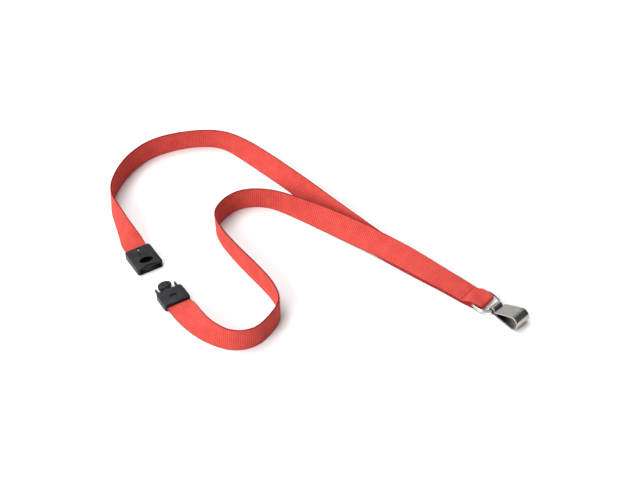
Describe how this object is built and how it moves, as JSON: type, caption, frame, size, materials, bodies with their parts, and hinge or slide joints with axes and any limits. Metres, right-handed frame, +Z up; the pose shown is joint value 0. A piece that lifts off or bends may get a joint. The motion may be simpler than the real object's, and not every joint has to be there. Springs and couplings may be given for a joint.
{
  "type": "lanyard",
  "caption": "Flat woven neck lanyard lying in loose curves, with a plug-in safety clasp between its ends and a split ring with a bent-steel badge clip at its fold.",
  "frame": {"origin": "on the table, under the middle of the box round the hardware: clasp halves, strap fold, split ring and clip", "axes": "+X from the clasp halves towards the ring and clip, +Y to the side the strap's long bows lie on, +Z up from the table"},
  "size_m": [0.2485, 0.1831, 0.015],
  "materials": {
    "webbing": "ribbed polyester webbing",
    "thread": "polyester sewing thread",
    "clasp_plastic": "moulded, semi-gloss",
    "pin_metal": "bright plated",
    "ring_wire": "bright plated wire",
    "clip_steel": "plated strip, brushed along its length"
  },
  "bodies": {
    "strap": {"strap_leg_rear": "webbing", "strap_leg_front": "webbing", "ring_loop": "webbing", "seam_stitches": "thread", "socket_base": "clasp_plastic", "socket_cover": "clasp_plastic", "strap_pin": "pin_metal"},
    "plug_half": {"plug_base": "clasp_plastic", "plug_cover": "clasp_plastic"},
    "ring": {"split_ring": "ring_wire"},
    "clip": {"clip_body": "clip_steel"},
    "leaf": {"clip_leaf": "clip_steel"}
  },
  "joints": [
    {"name": "clasp_slide", "type": "slide", "parent": "strap", "child": "plug_half", "axis": [-0.5299, 0.848, 0], "range_m": [0, 0.022], "deforming": ["strap_leg_front"]},
    {"name": "ring_swing", "type": "hinge", "parent": "strap", "child": "ring", "pos_m": [0.08834, -0.0079, 0.0022], "axis": [-0.6508, -0.7593, 0], "range_deg": [-60, 75], "deforming": ["ring_loop"]},
    {"name": "clip_swing", "type": "hinge", "parent": "ring", "child": "clip", "pos_m": [0.09984, -0.01776, 0.0022], "axis": [-0.7071, -0.7071, 0], "range_deg": [-95, 95]},
    {"name": "leaf_press", "type": "hinge", "parent": "clip", "child": "leaf", "pos_m": [0.11055, -0.02847, 0.0088], "axis": [0.7071, 0.7071, 0], "range_deg": [0, 8], "stiffness_Nm_per_rad": 0.3}
  ]
}
